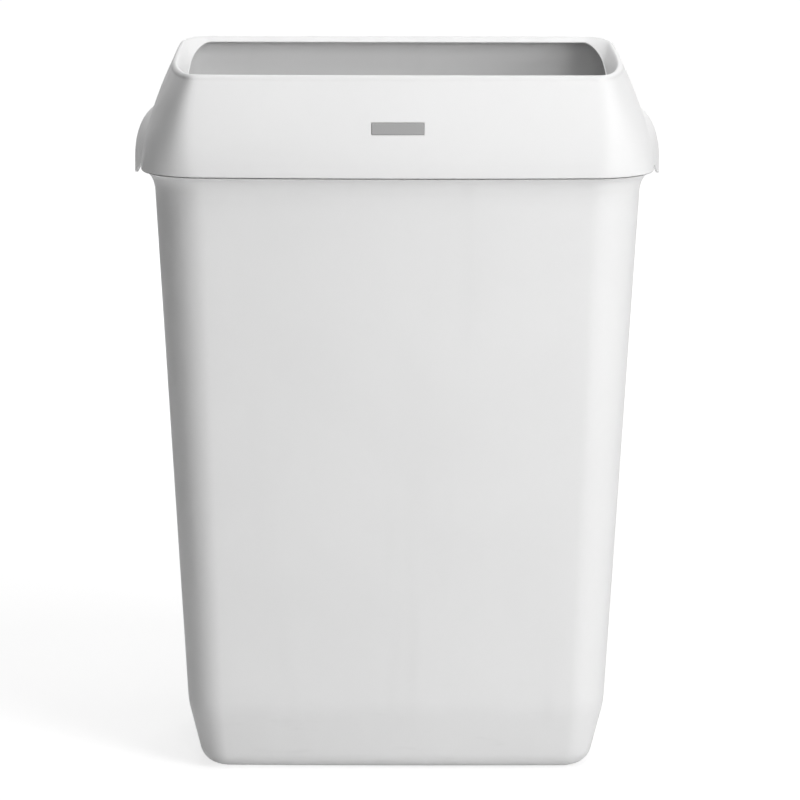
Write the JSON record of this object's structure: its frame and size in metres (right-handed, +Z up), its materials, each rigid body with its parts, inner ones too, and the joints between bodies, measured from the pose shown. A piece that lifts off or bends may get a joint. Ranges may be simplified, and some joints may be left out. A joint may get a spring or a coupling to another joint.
{
  "type": "waste bin",
  "caption": "Tapered washroom waste bin in white plastic with a lift-off open lid frame, finger grips on its sides and a plain plate on its front.",
  "frame": {"origin": "on the floor, under the middle of the bin's bounding box", "axes": "+Z up, -Y towards the front with the plate, +X to the right seen from the front"},
  "size_m": [0.4274, 0.288, 0.5718],
  "materials": {
    "body_plastic": "fine moulded grain, off-white",
    "lid_plastic": "smoother moulded surface, off-white",
    "plate": "plain grey"
  },
  "bodies": {
    "bin": {"bin_body": "body_plastic"},
    "lid": {"lid_frame": "lid_plastic", "badge_plate": "plate"}
  },
  "joints": [
    {"name": "lid_lift", "type": "slide", "parent": "bin", "child": "lid", "axis": [0, 0, 1], "range_m": [0, 0.1]}
  ]
}
